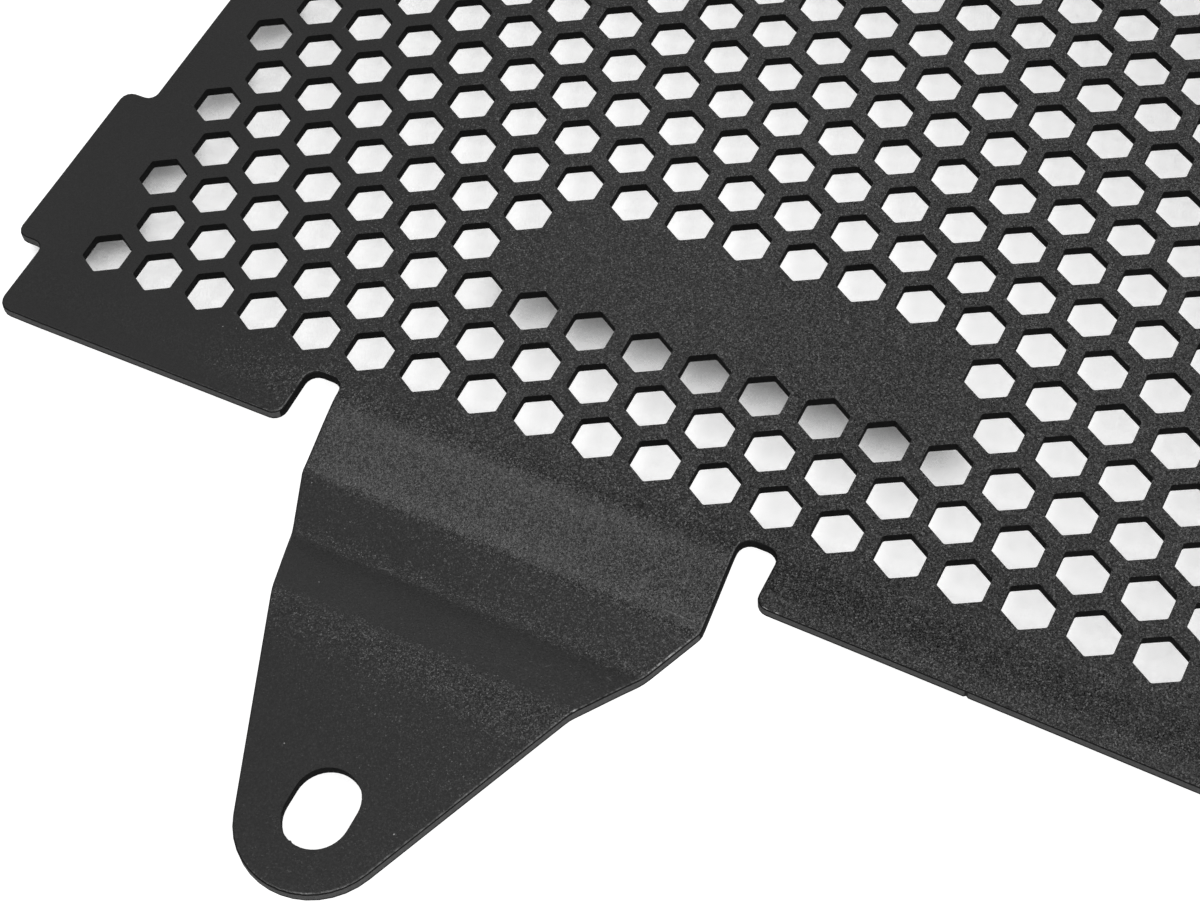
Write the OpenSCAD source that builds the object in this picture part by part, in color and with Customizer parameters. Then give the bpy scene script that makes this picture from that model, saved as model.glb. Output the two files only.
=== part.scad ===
// Radiator guard for a motorcycle: one flat sheet with a field of hexagonal
// holes, a plain patch, two side ears, an offset fixing tab at the bottom with
// a pressed trough, and two stepped fixing lugs at the top.
// Seen from the front: X runs across, Y runs up the sheet, Z comes out of its face.
// The guard lies on its back, with its lowest faces at Z = 0.

/* [Sheet] */
// Thickness of the sheet
sheet_t = 1.5; // [1:0.1:2.5]
// Width of the plate, without its ears
plate_w = 200; // [120:1:300]
// Height of the plate, without its tab and lugs
plate_h = 170; // [110:1:240]
// Radius of the plate's outer corners
corner_r = 2.3; // [0.5:0.1:6]
// Inside radius of every bend
bend_r = 3; // [0.5:0.1:4]

/* [Holes] */
// Distance between the centres of neighbouring holes
pitch = 9; // [8:0.25:14]
// Width of a hexagonal hole across its flats
hole_af = 6.5; // [4:0.25:7.25]
// Least distance from the centre of a hole to the plate's side
side_margin = 8; // [6:0.5:20]
// Least distance from the centre of a hole to the plate's top or bottom edge
end_margin = 14; // [14:0.5:25]

/* [Plain patch] */
// Width of the patch that no hole centre may lie in
patch_w = 68; // [20:1:100]
// Height of that patch
patch_h = 15; // [8:1:40]
// Height of the middle of the patch above the bottom edge
patch_y = 42; // [30:0.5:80]

/* [Side ears] */
// How far each ear stands out of the side
ear_out = 5; // [2:0.5:12]
// Length of each ear
ear_len = 30.5; // [12:0.5:60]
// Height of the lower end of each ear above the bottom edge
ear_y = 12.5; // [8:0.5:40]
// Radius of the outer corners of an ear
ear_r = 1.8; // [0.5:0.1:1.9]
// Radius of the inner corners of an ear
ear_root_r = 1.5; // [0.5:0.1:3]

/* [Bottom tab] */
// Width of the tab at its root
tab_w = 61.8; // [40:0.2:80]
// Sideways place of the middle of the tab, from the middle of the plate
tab_x = -14.9; // [-25:0.1:25]
// How far the tip of the tab reaches below the bottom edge
tab_reach = 61.6; // [52:0.1:90]
// Height of the first bend above the bottom edge
tab_bend_y = 6.1; // [3:0.1:8]
// Length of the slope down into the trough, measured along Y
trough_in = 10.5; // [8:0.1:12]
// Length of the floor of the trough
trough_floor = 9; // [6:0.1:12]
// Length of the slope up out of the trough, measured along Y
trough_out = 11.3; // [9:0.1:14]
// Depth of the trough below the plate, and the step of the lugs
trough_depth = 4.8; // [2:0.1:6]
// Height of the end of the tab over the plate
tab_lift = 1; // [0:0.1:2]
// Radius where the sides of the tab start to taper
taper_r = 1.5; // [1:0.5:10]

/* [Relief cuts beside the tab] */
// Width of a relief cut
relief_w = 5.5; // [4:0.1:8]
// How far a relief cut reaches past the first bend
relief_past = 2.7; // [2:0.1:4]
// Radius of the corners inside a relief cut
relief_r = 1.9; // [0.5:0.1:1.95]

/* [Top lugs] */
// Width of a lug
lug_w = 24; // [21:0.5:34]
// Distance between the middles of the two lugs
lug_spacing = 120; // [60:1:140]
// How far a lug reaches above the top edge
lug_reach = 30; // [27:0.5:45]
// Height of the first bend of a lug above the top edge
lug_bend_y = 4; // [3.5:0.1:5]
// Length of the step of a lug, measured along Y
lug_step = 8; // [6.5:0.1:9]
// Radius of the outer corners of a lug
lug_r = 8; // [2:0.5:9]
// Radius where a lug meets the top edge
lug_root_r = 2; // [0.5:0.1:2.5]

/* [Fixing slots] */
// Width of a slot, for an M8 bolt
slot_w = 9; // [6:0.1:10]
// Length of a slot from end to end
slot_len = 11.5; // [11:0.1:14]
// Metal left between a slot and the end of its tab or lug
slot_rim = 6.15; // [4:0.05:8]

/* [Hidden] */

coat = [0.22, 0.22, 0.22];
// Furthest that a flat may lie from the curve that it stands for
curve_tol = 0.035;
// How far a cutting solid runs past the faces that it cuts
past = 5;

row_step = pitch * sqrt(3) / 2;
rows = floor((plate_h - 2 * end_margin) / row_step) + 1;
columns = floor((plate_w - 2 * side_margin) / pitch) + 1;
first_row_y = (plate_h - (rows - 1) * row_step) / 2;

slot_r = slot_w / 2;
slot_straight = slot_len - slot_w;
tip_r = slot_r + slot_rim;
tip_y = tip_r - tab_reach;
tab_slot_y = tip_y + slot_straight / 2;
lug_slot_y = plate_h + lug_reach - slot_rim - slot_r;

trough_in_y = tab_bend_y - trough_in;

plate_z = trough_depth;
middle_y = (plate_h + lug_reach - tab_reach) / 2;

// Angle between the side of the tab and Y, where the side runs from its full
// width at the trough to a tangent on the round tip
taper_rise = trough_in_y - tip_y;
taper_angle = acos(tip_r / norm([tab_w / 2, taper_rise])) - atan2(taper_rise, tab_w / 2);

// Corner points carry their own radius: [x, y, radius]

function xy(p) = [p.x, p.y];
function unit(v) = v / norm(v);
function turn(u, v) = u.x * v.y - u.y * v.x;
function steps(r, sweep) = max(1, ceil(sweep / (2 * acos(1 - min(1, curve_tol / r)))));

// Points of the round at corner b, on the way from a to c
function round_corner(a, b, c, r) =
    let (u = unit(a - b), v = unit(c - b), half = acos(u * v) / 2)
    let (centre = b + unit(u + v) * r / sin(half), sweep = 180 - 2 * half)
    let (spoke = b + u * r / tan(half) - centre, n = steps(r, sweep))
    let (start = atan2(spoke.y, spoke.x), way = turn(u, v) < 0 ? 1 : -1)
    [for (k = [0:n]) centre + r * [cos(start + way * k * sweep / n), sin(start + way * k * sweep / n)]];

// The points of a path whose corners are rounded by their own radii
function rounded(path, closed = true) =
    let (n = len(path))
    [for (i = [0:n - 1])
        let (ends = !closed && (i == 0 || i == n - 1))
        each path[i].z == 0 || ends
            ? [xy(path[i])]
            : round_corner(xy(path[(i + n - 1) % n]), xy(path[i]), xy(path[(i + 1) % n]), path[i].z)];

function backwards(list) = [for (i = [len(list) - 1:-1:0]) list[i]];
function mirrored(list) = [for (p = backwards(list)) [-p.x, p.y, p.z]];

// Section of a bent sheet, from the points where its front face would fold
// without a radius. Each bend has the same radius on its inner side.
function below(u, v) = let (a = [u.y, -u.x], b = [v.y, -v.x]) sheet_t * (a + b) / (1 + a * b);
function bent_section(fold) =
    let (n = len(fold))
    let (legs = [for (i = [0:n - 2]) unit(fold[i + 1] - fold[i])])
    let (front = [for (i = [0:n - 1])
        let (u = legs[max(i - 1, 0)], v = legs[min(i, n - 2)])
        [fold[i].x, fold[i].y, turn(u, v) < 0 ? bend_r + sheet_t : bend_r]])
    let (back = [for (i = [0:n - 1])
        let (u = legs[max(i - 1, 0)], v = legs[min(i, n - 2)], p = fold[i] + below(u, v))
        [p.x, p.y, turn(u, v) < 0 ? bend_r : bend_r + sheet_t]])
    concat(rounded(front, false), backwards(rounded(back, false)));

// Right half of the plate's edge above the bottom edge, from the bottom up
side_edge = [
    [plate_w / 2, 0, corner_r],
    [plate_w / 2, ear_y, ear_root_r],
    [plate_w / 2 + ear_out, ear_y, ear_r],
    [plate_w / 2 + ear_out, ear_y + ear_len, ear_r],
    [plate_w / 2, ear_y + ear_len, ear_root_r],
    [plate_w / 2, plate_h, corner_r]
];

// Edge of one lug, from right to left
function lug_edge(x) = [
    [x + lug_w / 2, plate_h, lug_root_r],
    [x + lug_w / 2, plate_h + lug_reach, lug_r],
    [x - lug_w / 2, plate_h + lug_reach, lug_r],
    [x - lug_w / 2, plate_h, lug_root_r]
];

// Edge of the tab and its relief cuts, from left to right
relief_y = tab_bend_y + relief_past;
tab_left = tab_x - tab_w / 2;
tab_right = tab_x + tab_w / 2;
tab_edge = [
    [tab_left - relief_w, 0, relief_r],
    [tab_left - relief_w, relief_y, relief_r],
    [tab_left, relief_y, relief_r],
    [tab_left, trough_in_y, taper_r],
    [tab_x, tip_y - tip_r / sin(taper_angle), tip_r],
    [tab_right, trough_in_y, taper_r],
    [tab_right, relief_y, relief_r],
    [tab_right + relief_w, relief_y, relief_r],
    [tab_right + relief_w, 0, relief_r]
];

// The whole sheet as it is seen from the front
module outline() {
    polygon(rounded(concat(
        tab_edge,
        side_edge,
        lug_edge(lug_spacing / 2),
        lug_edge(-lug_spacing / 2),
        mirrored(side_edge)
    )));
}

module hexagon() {
    rotate(30) circle(d = hole_af / cos(30), $fn = 6);
}

function in_patch(x, y) = abs(x) < patch_w / 2 && abs(y - patch_y) < patch_h / 2;

// Rows of holes, each row set off by half a pitch from the one below it
module hole_field() {
    for (row = [0:rows - 1]) {
        count = columns - row % 2;
        y = first_row_y + row * row_step;
        for (i = [0:count - 1]) {
            x = (i - (count - 1) / 2) * pitch;
            if (!in_patch(x, y)) translate([x, y]) hexagon();
        }
    }
}

// A slot that runs along X
module slot() {
    for (side = [-1, 1]) translate([side * slot_straight / 2, 0]) circle(r = slot_r, $fn = 32);
    square([slot_straight, slot_w], center = true);
}

// A bent strip that runs along +Y from the place where its section starts
module bent_strip(fold, width) {
    rotate([90, 0, 90])
        linear_extrude(width, center = true)
            polygon(bent_section(fold));
}

// The round of a bend ends less than this far from its fold line
bend_zone = (bend_r + sheet_t) / 2;
// The plate stays flat between these heights over its whole width
flat_bottom = tab_bend_y + bend_zone;
flat_top = plate_h + lug_bend_y - bend_zone;
// Each bent strip starts with a flat of this length, which overlaps the plate
strip_lead = 2 * bend_zone;
tab_strip_w = tab_w + 1.5 * relief_w;
tab_gap_w = tab_w + 0.5 * relief_w;
lug_strip_w = lug_w + 2 * past;

// How a bent strip folds, seen from its side, from inside the plate outwards
trough_start = strip_lead + trough_in;
trough_end = trough_start + trough_floor;
tab_fold = [
    [0, 0],
    [strip_lead, 0],
    [trough_start, -trough_depth],
    [trough_end, -trough_depth],
    [trough_end + trough_out, tab_lift],
    [strip_lead + tab_bend_y + tab_reach + past, tab_lift]
];
lug_fold = [
    [0, 0],
    [strip_lead, 0],
    [strip_lead + lug_step, -trough_depth],
    [strip_lead + lug_reach, -trough_depth]
];

// The bent sheet before its edge and its holes are cut
module bent_sheet() {
    linear_extrude(sheet_t) difference() {
        translate([-plate_w, -past]) square([2 * plate_w, past + flat_top]);
        translate([tab_x - tab_gap_w / 2, -2 * past]) square([tab_gap_w, 2 * past + flat_bottom]);
    }
    translate([tab_x, tab_bend_y + strip_lead, sheet_t])
        mirror([0, 1, 0])
            bent_strip(tab_fold, tab_strip_w);
    for (side = [-1, 1])
        translate([side * lug_spacing / 2, plate_h + lug_bend_y - strip_lead, sheet_t])
            bent_strip(lug_fold, lug_strip_w);
}

// What the cutting leaves of the sheet, seen from the front
module cut_shape() {
    difference() {
        outline();
        hole_field();
        translate([tab_x, tab_slot_y]) rotate(90) slot();
        for (side = [-1, 1]) translate([side * lug_spacing / 2, lug_slot_y]) slot();
    }
}

module radiator_guard() {
    color(coat)
        translate([0, -middle_y, plate_z])
            intersection() {
                bent_sheet();
                translate([0, 0, -trough_depth - past])
                    linear_extrude(2 * (trough_depth + past)) cut_shape();
            }
}

radiator_guard();
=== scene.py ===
"""Dresses the radiator guard: soft cut edges, a fine powder coat, a white floor and the photograph's view."""
import math

import bmesh
import bpy
from mathutils import Matrix, Vector


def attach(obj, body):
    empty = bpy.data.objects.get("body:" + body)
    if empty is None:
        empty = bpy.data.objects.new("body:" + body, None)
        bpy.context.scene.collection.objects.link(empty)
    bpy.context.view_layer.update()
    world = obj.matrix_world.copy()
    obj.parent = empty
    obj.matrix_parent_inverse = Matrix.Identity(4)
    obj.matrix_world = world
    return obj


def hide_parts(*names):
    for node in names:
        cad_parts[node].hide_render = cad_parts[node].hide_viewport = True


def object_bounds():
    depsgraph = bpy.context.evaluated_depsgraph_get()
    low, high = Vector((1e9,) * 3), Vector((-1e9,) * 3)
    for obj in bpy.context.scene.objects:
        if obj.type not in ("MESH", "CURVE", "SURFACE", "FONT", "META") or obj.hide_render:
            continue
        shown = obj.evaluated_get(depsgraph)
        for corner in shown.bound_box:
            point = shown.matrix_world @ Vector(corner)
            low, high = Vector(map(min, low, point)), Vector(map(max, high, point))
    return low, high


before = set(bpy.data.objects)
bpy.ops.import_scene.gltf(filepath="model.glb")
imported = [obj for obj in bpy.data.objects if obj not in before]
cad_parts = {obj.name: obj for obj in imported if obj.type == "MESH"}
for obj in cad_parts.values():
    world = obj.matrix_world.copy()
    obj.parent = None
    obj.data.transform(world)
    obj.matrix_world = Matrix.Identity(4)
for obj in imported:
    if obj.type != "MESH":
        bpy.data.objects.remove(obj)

MM = 0.001
cad_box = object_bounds()

# Camera, from a fit of the hole pattern to the photograph
CAMERA_AT = Vector((93.06, -213.64, 288.08)) * MM
CAMERA_AIM = Vector((-7.5, -56.2, 6.3)) * MM
CAMERA_ROLL = math.radians(-6.8)
CAMERA_LENS = 74.27
CAMERA_SENSOR_W = 36
CAMERA_NEAR = 0.01

# Coat on the cut edges
RIM_R = 0.19 * MM
RIM_STEPS = 2
OUTER_R = 0.40 * MM
OUTER_STEPS = 3
CORNER_R = 0.22 * MM
CORNER_STEPS = 3
CUT_ANGLE = math.radians(35)
FLAT_ANGLE = math.radians(0.5)
WELD = 0.002 * MM
NORMALS_WEIGHT = 100
# How much a face looks up: less than this on a wall, on an upright wall, and on the strip along a rim that
# gets painted shade
WALL_LEAN = 0.5
UPRIGHT = 0.1
DARK_LEAN = 0.85
# How much the rounding has to look to the right to carry the painted rim highlight
RIM_HIGHLIGHT_SIDE = 0.05
# The guard's materials, in the order of its slots: the face coat, the cut walls' painted shade, the outline
# walls' painted light and the rims' painted highlights. The last one only marks faces while the mesh is made.
ON_FACE, PAINTED_SHADE_IN_CUT, PAINTED_LIGHT_EDGE, ON_RIM, IN_RELIEF = range(5)

# Where things are on the sheet
MESH_HALF_W = 96 * MM
MESH_LOW = -60 * MM
MESH_HIGH = 92 * MM
TAB_X = -14.9 * MM
TAB_HALF_W = 30.9 * MM
RELIEF_W = 5.5 * MM
SLACK = 0.4 * MM
BEND_B = -73.6 * MM
SHEET_LOW = -69.2 * MM

# The sheet's slight crown, fitted to the holes in the photograph: millimetres for 1, x, y, xx, xy and yy,
# with x and y in units of 100 mm. It fades out up the sheet, which the photograph doesn't show.
CROWN = (0.331, -0.273, -0.642, -1.617, -0.254, -1.705)
CROWN_UNIT = 100 * MM
CROWN_LEAST = -1.3
CROWN_FADE = (55 * MM, 80 * MM)
CROWN_TAB_FADE = (-68 * MM, -61 * MM)
CROWN_STEP = 12 * MM

# Small unevenness of the pressed tab: height up the sheet and how far the metal stands out, in mm
PRESS_MARKS = ((-62.2, 0.0), (-65.0, 0.02), (-71.4, -0.06), (-73.4, 0.0), (-83.4, 0.0),
               (-86.2, 0.07), (-93.5, 0.0))
PRESS_ZONE = (-97 * MM, -61 * MM)
PRESS_STEP = 0.7 * MM

# Flaws: place, highest level that moves, reach and shift of the metal, in mm. The faces around are cut first.
NICK = ((51.4, -69.2), 5.6, 0.35, (0.0, 0.22, 0.0))
BURR = ((-16.1, -124.5), 7.3, 0.25, (0.05, 0.15, 0.0))
FLAW_SLICE_REACH = 25
FLAW_CUTS = (-0.35, -0.2, -0.05, 0.1, 0.25, 0.4)
# Height of the strip along the foot of the outline's walls that is darkened as painted shadow
EDGE_SHADOW_H = 0.32 * MM

# Floor
FLOOR_HALF_W = 3.0
FLOOR_GREY = 0.6
FLOOR_GLOW = 0.88
FLOOR_SHADE_REACH = 14 * MM
FLOOR_SHADE_SAMPLES = 8
# The way from the floor to the middle of the sky behind the guard
FLOOR_SHADE_WAY = (0.08, 0.77, 0.63)
# Painted shade: how much the floor's glow shows of its white, by how much of that sky it sees
FLOOR_SHADES = ((0.0, 0.0), (0.30, 0.0), (0.38, 0.05), (0.43, 0.18), (0.48, 0.30), (0.53, 0.42), (0.56, 0.62),
                (0.595, 1.0), (1.0, 1.0))
# Where the painted shade sets in, by height up the sheet: only under the holes
FLOOR_SHADE_FADE = (-58 * MM, -53 * MM)

# Lights: the sky's strength, and each lamp's name, direction from the guard, distance, width and power
WORLD_LEVEL = 0.30
LAMPS = (("key_lamp", (-0.27, -0.47, 0.83), 0.6, 0.20, 0.57),
         ("back_lamp", (-0.05, 0.65, 0.76), 1.0, 0.3, 1.3),
         ("low_lamp", (-0.25, 0.93, 0.28), 1.0, 0.5, 0.12),
         ("side_lamp", (0.57, -0.33, 0.75), 1.4, 1.24, 10.8))

# Powder coat
FLAKE_SIZE = 0.17 * MM
FLAKE_TILT = 1.4
# How strongly the flakes stand out, both in lean and in tone with painted glints, by height up the sheet in
# mm: most at the tab's upper bends, where the painted glints are strongest
FLAKE_AND_PAINTED_GLINT_BANDS = ((-130, 0.25), (-112, 0.25), (-101, 0.35), (-97, 0.9), (-94.5, 1.1), (-92.5, 0.3), (-84, 0.2),
               (-82.6, 1.0), (-80, 0.4), (-75.0, 0.5), (-73.4, 1.5), (-72.0, 1.8), (-70.5, 1.0), (-67, 1.0),
               (-65, 2.0), (-62, 1.9), (-60, 1.3), (-50, 1.2), (130, 1.1))
# And by place across the sheet: least at the left margin, where the painted glints are fewest
FLAKE_AND_PAINTED_GLINT_SIDES = ((-105, 0.1), (-70, 0.1), (-46, 0.6), (-28, 0.7), (-5, 1.0), (22, 1.7), (55, 1.6), (105, 1.2))
# How far they lean on the tab, by height up the sheet: least at its upper bends, which shine most evenly
FLAKE_LEANS = ((-130, 1.0), (-74.6, 1.0), (-73.6, 0.42), (-71.6, 0.42), (-70.4, 0.95), (-67, 0.95),
               (-65.4, 0.42), (-63.2, 0.42), (-62.0, 1.0), (130, 1.0))
# Beside the tab, by place across the sheet in mm, they lean fully
BESIDE_TAB = ((-105, 1.0), (-46.4, 1.0), (-45.9, 0.0), (16.1, 0.0), (16.6, 1.0), (105, 1.0))
# The flakes' tone runs from dark to bright; the bright cells are painted glints
FLAKE_TONE_AND_PAINTED_GLINT_CONTRAST = 0.6
FLAKE_DARK = 0.003
FLAKE_PAINTED_GLINT_GREY = 0.120
COAT_GREY = 0.0290
COAT_ROUGHNESS = (0.24, 0.34)
# The range that a noise texture mostly stays in
NOISE_RANGE = (0.3, 0.7)
GRAIN_SCALE = 3200
GRAIN_DEPTH = 0.045 * MM
PEEL_SCALE = 420
PEEL_DEPTH = 0.015 * MM
CLOUD_SCALE = 45
CLOUD_DARKENS = 0.12
# Noise that breaks up the painted rim highlights and streaks, and the grey of the painted rim highlights
HIGHLIGHT_BREAK_SCALE = 1400
HIGHLIGHT_BREAK_RANGE = (0.38, 0.62)
PAINTED_RIM_HIGHLIGHT_GREY = 0.15
CUT_GRAIN_SCALE = 2400
CUT_GRAIN_DEPTH = 0.05 * MM
CUT_ROUGHNESS = 0.65

# Small marks on the coat, each with its place, half length and half width in mm and its turn in degrees
MARK_EDGE = (1.1, 0.6)
DUST_GREY = 0.40
DUST_SPOTS = ((-66.8, -59.1, 0.1, 0.1, 0), (9.7, -47.2, 0.12, 0.12, 0), (-4.8, -118.1, 0.12, 0.12, 0),
              (-23.8, -113.1, 0.1, 0.1, 0), (-43.5, -74.7, 0.1, 0.1, 0), (-32.8, -89.7, 0.09, 0.09, 0))
# Scratches; the last one is a painted highlight along the crease of bend B
SCRATCH_AND_HIGHLIGHT_SHOWS = 0.35
SCRATCH_AND_HIGHLIGHT_GREY = 0.20
SCRATCHES_AND_CREASE_HIGHLIGHT = ((0.6, -87.6, 0.7, 0.08, 60), (8.3, -85.4, 0.6, 0.12, -20), (-27.1, -82.6, 1.2, 0.15, 10),
             (12.0, -72.6, 2.6, 0.12, 0))
# A painted shadow in the nick of the bottom edge
NICK_SHADOW = ((51.4, -69.2, 0.28, 0.6, 0),)
# Painted highlights: thin bright streaks on a rim and along the tab's side edges, broken up by noise
PAINTED_HIGHLIGHT_STREAK_GREY = 0.45
PAINTED_HIGHLIGHT_STREAKS = ((22.6, -68.93, 1.3, 0.13, -3), (24.9, -68.95, 0.35, 0.1, 0),
           (13.56, -78.6, 4.6, 0.13, 67.4), (7.33, -93.6, 1.4, 0.13, 67.4))


def place_camera():
    data = bpy.data.cameras.new("photo_camera")
    data.lens = CAMERA_LENS
    data.sensor_width = CAMERA_SENSOR_W
    data.clip_start = CAMERA_NEAR
    camera = bpy.data.objects.new("photo_camera", data)
    bpy.context.scene.collection.objects.link(camera)
    look = (CAMERA_AIM - CAMERA_AT).to_track_quat("-Z", "Y").to_matrix()
    roll = Matrix.Rotation(CAMERA_ROLL, 3, "Z")
    camera.matrix_world = Matrix.Translation(CAMERA_AT) @ (look @ roll).to_4x4()
    bpy.context.scene.camera = camera


def smooth(low, high, value):
    t = min(max((value - low) / (high - low), 0.0), 1.0)
    return t * t * (3 - 2 * t)


def crown(x, y):
    """How far the sheet stands out from flat at a place on it."""
    u, v = x / CROWN_UNIT, y / CROWN_UNIT
    rise = sum(k * term for k, term in zip(CROWN, (1, u, v, u * u, u * v, v * v)))
    rise = max(rise, CROWN_LEAST) * (1 - smooth(*CROWN_FADE, y))
    if abs(x - TAB_X) < TAB_HALF_W + RELIEF_W / 2:
        rise *= smooth(*CROWN_TAB_FADE, y)
    return rise * MM


def press_mark(x, y):
    """The small waves that the press left across the tab."""
    if abs(x - TAB_X) > TAB_HALF_W + RELIEF_W / 2:
        return 0.0
    for (high, start), (low, end) in zip(PRESS_MARKS, PRESS_MARKS[1:]):
        if low * MM <= y <= high * MM:
            return (start + (end - start) * smooth(0, 1, (high * MM - y) / ((high - low) * MM))) * MM
    return 0.0


def flaw(co, place, top, reach, shift):
    """How far a point moves for a small nick or burr."""
    off = math.hypot(co.x - place[0] * MM, co.y - place[1] * MM)
    return Vector(shift) * MM * (1 - smooth(0, reach * MM, off)) * (co.z < top * MM)


def vertical(face):
    return abs(face.normal.z) < WALL_LEAN


def wall_bands(bm):
    """The upright faces, as one list for each hole and one for the outline, which comes last."""
    left = {f for f in bm.faces if vertical(f)}
    bands = []
    while left:
        band = [left.pop()]
        for face in band:
            for edge in face.edges:
                for other in edge.link_faces:
                    if other in left:
                        left.discard(other)
                        band.append(other)
        bands.append(band)
    return sorted(bands, key=len)


def in_relief(face):
    """Whether a wall of the outline is in one of the two relief cuts, or on the tab just below them."""
    centre = face.calc_center_median()
    across = abs(centre.x - TAB_X) - TAB_HALF_W
    beside = -SLACK < across < RELIEF_W + SLACK and SHEET_LOW + SLACK < centre.y < MESH_LOW
    return beside or (-SLACK < across < SLACK and BEND_B < centre.y < MESH_LOW)


def round_edges(bm, edges, radius, steps):
    """Bevels the edges and returns the new faces."""
    faces = bmesh.ops.bevel(bm, geom=edges, offset=radius, offset_type="OFFSET", segments=steps, profile=0.5,
                            affect="EDGES", clamp_overlap=True, material=-1)["faces"]
    bm.normal_update()
    return faces


def corners(bm):
    return [e for e in bm.edges if e.is_manifold and e.calc_face_angle() > CUT_ANGLE
            and all(vertical(f) for f in e.link_faces)]


def rims(bm, outer):
    """The sharp edges between a wall and a face: the front ones of the outline, or all that are left."""
    found = []
    for edge in bm.edges:
        if edge.is_manifold and edge.calc_face_angle() > CUT_ANGLE:
            wall, face = sorted(edge.link_faces, key=lambda f: abs(f.normal.z))
            if vertical(wall) and not vertical(face):
                if not outer or (face.normal.z > 0 and wall.material_index in (PAINTED_LIGHT_EDGE, IN_RELIEF)):
                    found.append(edge)
    return found


def in_mesh(place):
    return abs(place.x) < MESH_HALF_W and MESH_LOW < place.y < MESH_HIGH


def shade_edge_foot(bm):
    """Parts off a low strip along the foot of the outline's walls and gives it the dark cut material, as
    painted shadow.
    """
    walls = [f for f in bm.faces if f.material_index == PAINTED_LIGHT_EDGE and abs(f.normal.z) < UPRIGHT]
    known = set(walls)
    cuts = set()
    inner = (e for f in walls for e in f.edges if all(beside in known for beside in e.link_faces))
    for edge in dict.fromkeys(inner):
        low, high = sorted(edge.verts, key=lambda v: v.co.z)
        if high.co.z - low.co.z > 2 * EDGE_SHADOW_H:
            cuts.add(bmesh.utils.edge_split(edge, low, EDGE_SHADOW_H / edge.calc_length())[1])
    for face in walls:
        ends = [v for v in face.verts if v in cuts]
        if len(ends) == 2:
            half = bmesh.utils.face_split(face, *ends)[0]
            lower = min((face, half), key=lambda f: f.calc_center_median().z)
            lower.material_index = PAINTED_SHADE_IN_CUT


def slice_mesh(bm, axis, places, keep=lambda co: True):
    """Cuts every face that crosses one of the places along an axis, so that the sheet can be curved."""
    for place in places:
        faces = [f for f in bm.faces if keep(f.calc_center_median())]
        geom = list({v for f in faces for v in f.verts}) + list({e for f in faces for e in f.edges}) + faces
        across = Vector((0, 0, 0))
        across[axis] = 1
        bmesh.ops.bisect_plane(bm, geom=geom, dist=WELD, plane_co=across * place, plane_no=across)


def steps_between(low, high, step):
    count = round((high - low) / step)
    return [low + (high - low) * i / count for i in range(count + 1)]


def near(place, reach):
    return lambda co: math.hypot(co.x - place[0] * MM, co.y - place[1] * MM) < reach * MM


def on_tab(co):
    return abs(co.x - TAB_X) < TAB_HALF_W + RELIEF_W / 2 and co.y < MESH_LOW


def coat_edges(bm):
    """Rounds the cut edges and sets the material of the walls and of their rims."""
    round_edges(bm, corners(bm), CORNER_R, CORNER_STEPS)
    *holes, outline = wall_bands(bm)
    # The outline's walls get painted light, those in the relief cuts painted shade
    for face in outline:
        face.material_index = IN_RELIEF if in_relief(face) else PAINTED_LIGHT_EDGE
    # The walls of the holes get painted shade
    for hole in holes:
        for face in hole:
            face.material_index = PAINTED_SHADE_IN_CUT
    for face in round_edges(bm, rims(bm, True), OUTER_R, OUTER_STEPS):
        if face.material_index != IN_RELIEF:
            lean = face.normal.z
            # Outline rims that look to the right carry painted highlight spots
            top = ON_RIM if face.normal.x > RIM_HIGHLIGHT_SIDE else ON_FACE
            # On the outline's rounding: the lower part gets the edge walls' painted light, the strip below
            # the top painted shade
            face.material_index = PAINTED_LIGHT_EDGE if lean < WALL_LEAN else PAINTED_SHADE_IN_CUT if lean < DARK_LEAN else top
    for face in round_edges(bm, rims(bm, False), RIM_R, RIM_STEPS):
        # The undersides of the rims get painted shade
        if face.normal.z < 0:
            face.material_index = PAINTED_SHADE_IN_CUT
        else:
            # Rims of the holes carry painted highlight spots
            face.material_index = ON_RIM if in_mesh(face.calc_center_median()) else ON_FACE
    for face in bm.faces:
        if face.material_index == IN_RELIEF:
            face.material_index = PAINTED_SHADE_IN_CUT


def curve_sheet(bm):
    """Cuts the faces finely enough for the crown, the press marks and the flaws, and moves them."""
    slice_mesh(bm, 0, steps_between(cad_box[0][0], cad_box[1][0], CROWN_STEP)[1:-1])
    slice_mesh(bm, 1, steps_between(SHEET_LOW, MESH_HIGH, CROWN_STEP)[1:-1])
    slice_mesh(bm, 1, steps_between(*PRESS_ZONE, PRESS_STEP), on_tab)
    bm.normal_update()
    shade_edge_foot(bm)
    for place, *_ in (NICK, BURR):
        slice_mesh(bm, 0, [(place[0] + shift) * MM for shift in FLAW_CUTS], near(place, FLAW_SLICE_REACH))
    for vert in bm.verts:
        at = vert.co.copy()
        for place, top, reach, shift in (NICK, BURR):
            vert.co += flaw(at, place, top, reach, shift)
        vert.co.z += crown(at.x, at.y) + press_mark(at.x, at.y)


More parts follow.
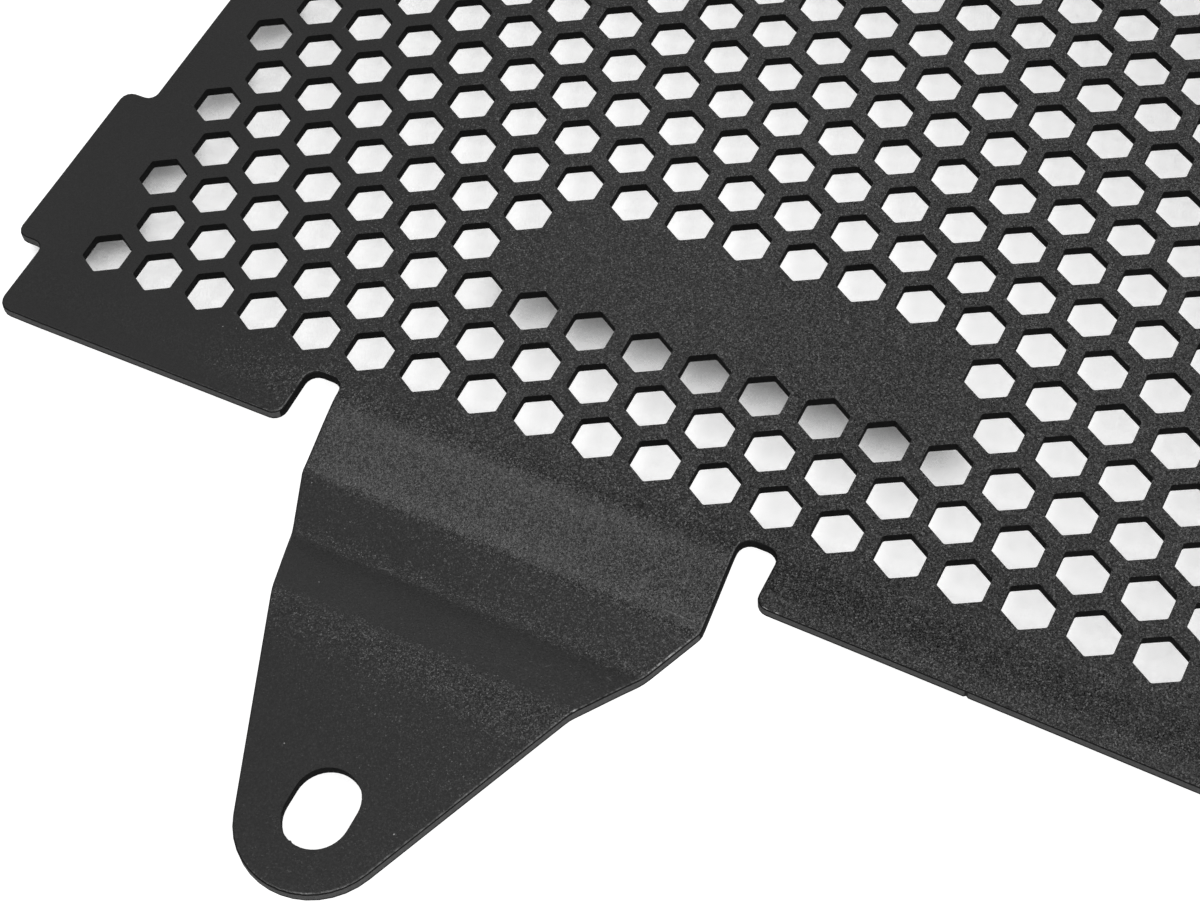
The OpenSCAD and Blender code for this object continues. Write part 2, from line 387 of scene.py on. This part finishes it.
def dressed_sheet(node):
    """A copy of the sheet with its coat's round edges, its slight crown and its small flaws."""
    bm = bmesh.new()
    bm.from_mesh(node.data)
    bmesh.ops.remove_doubles(bm, verts=bm.verts, dist=WELD)
    bmesh.ops.dissolve_limit(bm, angle_limit=FLAT_ANGLE, verts=bm.verts, edges=bm.edges)
    bm.normal_update()
    coat_edges(bm)
    curve_sheet(bm)
    bmesh.ops.triangulate(bm, faces=[f for f in bm.faces if len(f.verts) > 4])
    for face in bm.faces:
        face.smooth = True
    mesh = bpy.data.meshes.new("coated_sheet")
    bm.to_mesh(mesh)
    bm.free()
    sheet = bpy.data.objects.new("coated_sheet", mesh)
    bpy.context.scene.collection.objects.link(sheet)
    normals = sheet.modifiers.new("face_weighted_normals", "WEIGHTED_NORMAL")
    normals.keep_sharp = False
    normals.weight = NORMALS_WEIGHT
    return sheet


class Nodes:
    """Short hand for building a node tree."""

    def __init__(self, material):
        material.use_nodes = True
        self.tree = material.node_tree
        self.tree.nodes.clear()

    def add(self, kind, inputs=None, **settings):
        node = self.tree.nodes.new(kind)
        for name, value in settings.items():
            setattr(node, name, value)
        for name, value in (inputs or {}).items():
            if isinstance(value, bpy.types.NodeSocket):
                self.tree.links.new(value, node.inputs[name])
            else:
                node.inputs[name].default_value = value
        return node


def ramp(n, source, low, high, to_low=0.0, to_high=1.0):
    node = n.add("ShaderNodeMapRange", {"Value": source, "From Min": low, "From Max": high,
                                        "To Min": to_low, "To Max": to_high})
    return node.outputs["Result"]


def calc(n, operation, *values):
    return n.add("ShaderNodeMath", dict(enumerate(values)), operation=operation).outputs["Value"]


def graded(n, source, stops):
    """A number that follows the stops, which are pairs of a source value and a result."""
    low, high = stops[0][0], stops[-1][0]
    top = max(value for _, value in stops)
    node = n.add("ShaderNodeValToRGB", {"Fac": ramp(n, source, low, high)})
    points = node.color_ramp.elements
    while len(points) < len(stops):
        points.new(0.5)
    for point, (spot, value) in zip(points, stops):
        point.position = (spot - low) / (high - low)
        point.color = (value / top, value / top, value / top, 1)
    return calc(n, "MULTIPLY", node.outputs["Color"], top)


def along(n, place, axis, stops):
    """A number that follows the stops, which are pairs of a place along the axis in mm and a value."""
    spot = n.add("ShaderNodeSeparateXYZ", {"Vector": place}).outputs[axis]
    return graded(n, spot, [(at * MM, value) for at, value in stops])


def flakes(n, place):
    """For each small cell a random number and a random way to lean, and how strongly the cells stand out, in
    lean and in painted glints.
    """
    cells = n.add("ShaderNodeTexVoronoi", {"Vector": place, "Scale": 1 / FLAKE_SIZE})
    draw = n.add("ShaderNodeTexWhiteNoise", {"Vector": cells.outputs["Position"]}, noise_dimensions="3D")
    way = n.add("ShaderNodeVectorMath", {0: cells.outputs["Color"], 1: (0.5, 0.5, 0.5)}, operation="SUBTRACT")
    strength = calc(n, "MULTIPLY", along(n, place, "Y", FLAKE_AND_PAINTED_GLINT_BANDS), along(n, place, "X", FLAKE_AND_PAINTED_GLINT_SIDES))
    return draw.outputs["Value"], way.outputs["Vector"], strength


def tilted(n, place, draw, way, strength):
    """The surface normal, turned a little at random in each cell, so that some cells catch a lamp."""
    amount = calc(n, "MULTIPLY", calc(n, "MULTIPLY", draw, FLAKE_TILT), strength)
    leans = calc(n, "MAXIMUM", along(n, place, "Y", FLAKE_LEANS), along(n, place, "X", BESIDE_TAB))
    amount = calc(n, "MULTIPLY", amount, leans)
    lean = n.add("ShaderNodeVectorMath", {0: way, "Scale": amount}, operation="SCALE")
    flat = n.add("ShaderNodeNewGeometry").outputs["Normal"]
    summed = n.add("ShaderNodeVectorMath", {0: flat, 1: lean.outputs["Vector"]}, operation="ADD")
    unit = n.add("ShaderNodeVectorMath", {0: summed.outputs["Vector"]}, operation="NORMALIZE")
    return unit.outputs["Vector"]


def mixed(n, factor, low, high):
    """A blend of two colours, each a node's output or a grey."""
    node = n.add("ShaderNodeMix", {"Factor": factor}, data_type="RGBA")
    for name, colour in (("A", low), ("B", high)):
        if isinstance(colour, float):
            node.inputs[name].default_value = (colour, colour, colour, 1)
        else:
            n.tree.links.new(colour, node.inputs[name])
    return node.outputs["Result"]


def mark(n, place, x, y, half_length, half_width, turn):
    """1 inside a small ellipse on the sheet, turned by an angle in degrees, and 0 outside it; all in mm."""
    off = n.add("ShaderNodeVectorMath", {0: place, 1: (x * MM, y * MM, 0)}, operation="SUBTRACT")
    turned = n.add("ShaderNodeVectorRotate", {"Vector": off.outputs["Vector"], "Angle": math.radians(-turn)},
                   rotation_type="Z_AXIS")
    scaled = n.add("ShaderNodeVectorMath", {0: turned.outputs["Vector"],
                                            1: (1 / half_length / MM, 1 / half_width / MM, 0)},
                   operation="MULTIPLY")
    size = n.add("ShaderNodeVectorMath", {0: scaled.outputs["Vector"]}, operation="LENGTH").outputs["Value"]
    return ramp(n, size, *MARK_EDGE)


def marks(n, place, spots):
    """1 inside any of the spots and 0 outside them."""
    total = 0.0
    for spot in spots:
        total = calc(n, "MAXIMUM", total, mark(n, place, *spot))
    return total


def powder_coat(name, rim_highlight):
    """Satin black powder coat: fine grain, scattered glints that are partly painted into the flakes' tone,
    faint orange peel and, on rims, painted highlight spots.
    """
    material = bpy.data.materials.new(name)
    n = Nodes(material)
    place = n.add("ShaderNodeTexCoord").outputs["Object"]
    grain = n.add("ShaderNodeTexNoise", {"Vector": place, "Scale": GRAIN_SCALE, "Detail": 2,
                                         "Roughness": 0.6})
    peel = n.add("ShaderNodeTexNoise", {"Vector": place, "Scale": PEEL_SCALE, "Detail": 2})
    cloud = n.add("ShaderNodeTexNoise", {"Vector": place, "Scale": CLOUD_SCALE, "Detail": 3})
    highlight_break_noise = n.add("ShaderNodeTexNoise", {"Vector": place, "Scale": HIGHLIGHT_BREAK_SCALE, "Detail": 3})
    draw, way, strength = flakes(n, place)
    # The flakes' tone, whose bright cells are painted glints, shows most where the lamps' glints fall
    flake_tone_and_glint_spread = calc(n, "MINIMUM", calc(n, "MULTIPLY", strength, FLAKE_TONE_AND_PAINTED_GLINT_CONTRAST), 1)
    flake_tone_or_painted_glint = mixed(n, calc(n, "MULTIPLY", draw, draw), FLAKE_DARK, FLAKE_PAINTED_GLINT_GREY)
    colour = mixed(n, flake_tone_and_glint_spread, COAT_GREY, flake_tone_or_painted_glint)
    darker = calc(n, "MULTIPLY", ramp(n, cloud.outputs["Fac"], *NOISE_RANGE), CLOUD_DARKENS)
    colour = mixed(n, darker, colour, 0.0)
    highlight_breaks = ramp(n, highlight_break_noise.outputs["Fac"], *HIGHLIGHT_BREAK_RANGE)
    # Painted highlight spots on the rims, broken up by noise
    if rim_highlight:
        colour = mixed(n, calc(n, "MULTIPLY", highlight_breaks, rim_highlight), colour, PAINTED_RIM_HIGHLIGHT_GREY)
    colour = mixed(n, marks(n, place, DUST_SPOTS), colour, DUST_GREY)
    colour = mixed(n, calc(n, "MULTIPLY", marks(n, place, SCRATCHES_AND_CREASE_HIGHLIGHT), SCRATCH_AND_HIGHLIGHT_SHOWS), colour, SCRATCH_AND_HIGHLIGHT_GREY)
    colour = mixed(n, calc(n, "MULTIPLY", marks(n, place, PAINTED_HIGHLIGHT_STREAKS), highlight_breaks), colour, PAINTED_HIGHLIGHT_STREAK_GREY)
    roughness = ramp(n, grain.outputs["Fac"], *NOISE_RANGE, *COAT_ROUGHNESS)
    coarse = n.add("ShaderNodeBump", {"Height": peel.outputs["Fac"], "Distance": PEEL_DEPTH, "Strength": 1.0,
                                      "Normal": tilted(n, place, draw, way, strength)})
    fine = n.add("ShaderNodeBump", {"Height": grain.outputs["Fac"], "Distance": GRAIN_DEPTH, "Strength": 1.0,
                                    "Normal": coarse.outputs["Normal"]})
    shader = n.add("ShaderNodeBsdfPrincipled", {"Base Color": colour, "Roughness": roughness,
                                                "Normal": fine.outputs["Normal"]})
    n.add("ShaderNodeOutputMaterial", {"Surface": shader.outputs["BSDF"]})
    return material


def thin_coat(name, dark, light, specular, painted_nick_shadow=()):
    """The thin, dry coat on the cut walls: a mottle between two greys, set dark in the cuts as painted shade
    and light on the outline as painted light, with dark spots of painted shadow in the nick.
    """
    material = bpy.data.materials.new(name)
    n = Nodes(material)
    place = n.add("ShaderNodeTexCoord").outputs["Object"]
    grain = n.add("ShaderNodeTexNoise", {"Vector": place, "Scale": CUT_GRAIN_SCALE, "Detail": 3})
    colour = mixed(n, ramp(n, grain.outputs["Fac"], *NOISE_RANGE), dark, light)
    colour = mixed(n, marks(n, place, painted_nick_shadow), colour, 0.0)
    bump = n.add("ShaderNodeBump", {"Height": grain.outputs["Fac"], "Distance": CUT_GRAIN_DEPTH,
                                    "Strength": 1.0})
    shader = n.add("ShaderNodeBsdfPrincipled", {"Base Color": colour, "Roughness": CUT_ROUGHNESS,
                                                "Specular IOR Level": specular,
                                                "Normal": bump.outputs["Normal"]})
    n.add("ShaderNodeOutputMaterial", {"Surface": shader.outputs["BSDF"]})
    return material


def white_floor():
    """A matt white floor that keeps the guard's shadow and stands out as white to the camera, with painted
    shade that darkens this glow where the floor sees little of the sky behind the guard.
    """
    material = bpy.data.materials.new("white_floor")
    n = Nodes(material)
    matt = n.add("ShaderNodeBsdfDiffuse", {"Color": (FLOOR_GREY, FLOOR_GREY, FLOOR_GREY, 1)})
    seen = n.add("ShaderNodeLightPath").outputs["Is Camera Ray"]
    back = n.add("ShaderNodeCombineXYZ", dict(zip("XYZ", FLOOR_SHADE_WAY))).outputs["Vector"]
    sky = n.add("ShaderNodeAmbientOcclusion", {"Distance": FLOOR_SHADE_REACH, "Normal": back},
                samples=FLOOR_SHADE_SAMPLES)
    # Painted shade on the floor's glow, by how much of the sky behind the guard the floor sees
    shade = graded(n, sky.outputs["AO"], FLOOR_SHADES)
    place = n.add("ShaderNodeTexCoord").outputs["Object"]
    up = n.add("ShaderNodeSeparateXYZ", {"Vector": place}).outputs["Y"]
    shade = calc(n, "MAXIMUM", shade, ramp(n, up, *FLOOR_SHADE_FADE, 1, 0))
    glow = calc(n, "MULTIPLY", shade, ramp(n, seen, 0, 1, 0, FLOOR_GLOW))
    light = n.add("ShaderNodeEmission", {"Color": (1, 1, 1, 1), "Strength": glow})
    both = n.add("ShaderNodeAddShader")
    n.tree.links.new(matt.outputs["BSDF"], both.inputs[0])
    n.tree.links.new(light.outputs["Emission"], both.inputs[1])
    n.add("ShaderNodeOutputMaterial", {"Surface": both.outputs["Shader"]})
    bm = bmesh.new()
    bmesh.ops.create_grid(bm, x_segments=1, y_segments=1, size=FLOOR_HALF_W)
    mesh = bpy.data.meshes.new("floor")
    bm.to_mesh(mesh)
    bm.free()
    mesh.materials.append(material)
    floor = bpy.data.objects.new("floor", mesh)
    bpy.context.scene.collection.objects.link(floor)


def soft_lamp(name, way, distance, width, power):
    """A square soft box in the given direction from the guard, turned to it."""
    data = bpy.data.lights.new(name, "AREA")
    data.shape = "SQUARE"
    data.size = width
    data.energy = power
    lamp = bpy.data.objects.new(name, data)
    bpy.context.scene.collection.objects.link(lamp)
    lamp.location = Vector(way).normalized() * distance
    lamp.rotation_euler = (-lamp.location).to_track_quat("-Z", "Y").to_euler()


def studio_world():
    """A sky that is white to the camera and lights the scene only faintly."""
    world = bpy.data.worlds.new("studio")
    bpy.context.scene.world = world
    world.use_nodes = True
    nodes = world.node_tree.nodes
    links = world.node_tree.links
    nodes.clear()
    seen = nodes.new("ShaderNodeLightPath")
    strength = nodes.new("ShaderNodeMapRange")
    links.new(seen.outputs["Is Camera Ray"], strength.inputs["Value"])
    strength.inputs["To Min"].default_value = WORLD_LEVEL
    strength.inputs["To Max"].default_value = 1
    sky = nodes.new("ShaderNodeBackground")
    links.new(strength.outputs["Result"], sky.inputs["Strength"])
    out = nodes.new("ShaderNodeOutputWorld")
    links.new(sky.outputs["Background"], out.inputs["Surface"])


place_camera()
guard = dressed_sheet(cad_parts["radiator_guard"])
for finish in (powder_coat("black_powder_coat", rim_highlight=0),
               thin_coat("thin_coat_with_painted_shade_in_cuts", dark=0.0035, light=0.0070, specular=0.2),
               thin_coat("thin_coat_with_painted_light_on_edges", dark=0.075, light=0.110, specular=0.35, painted_nick_shadow=NICK_SHADOW),
               powder_coat("coat_with_painted_rim_highlights", rim_highlight=0.8)):
    guard.data.materials.append(finish)
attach(guard, "root")
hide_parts("radiator_guard")

white_floor()
studio_world()
for lamp in LAMPS:
    soft_lamp(*lamp)

bpy.context.scene.view_settings.view_transform = "Standard"
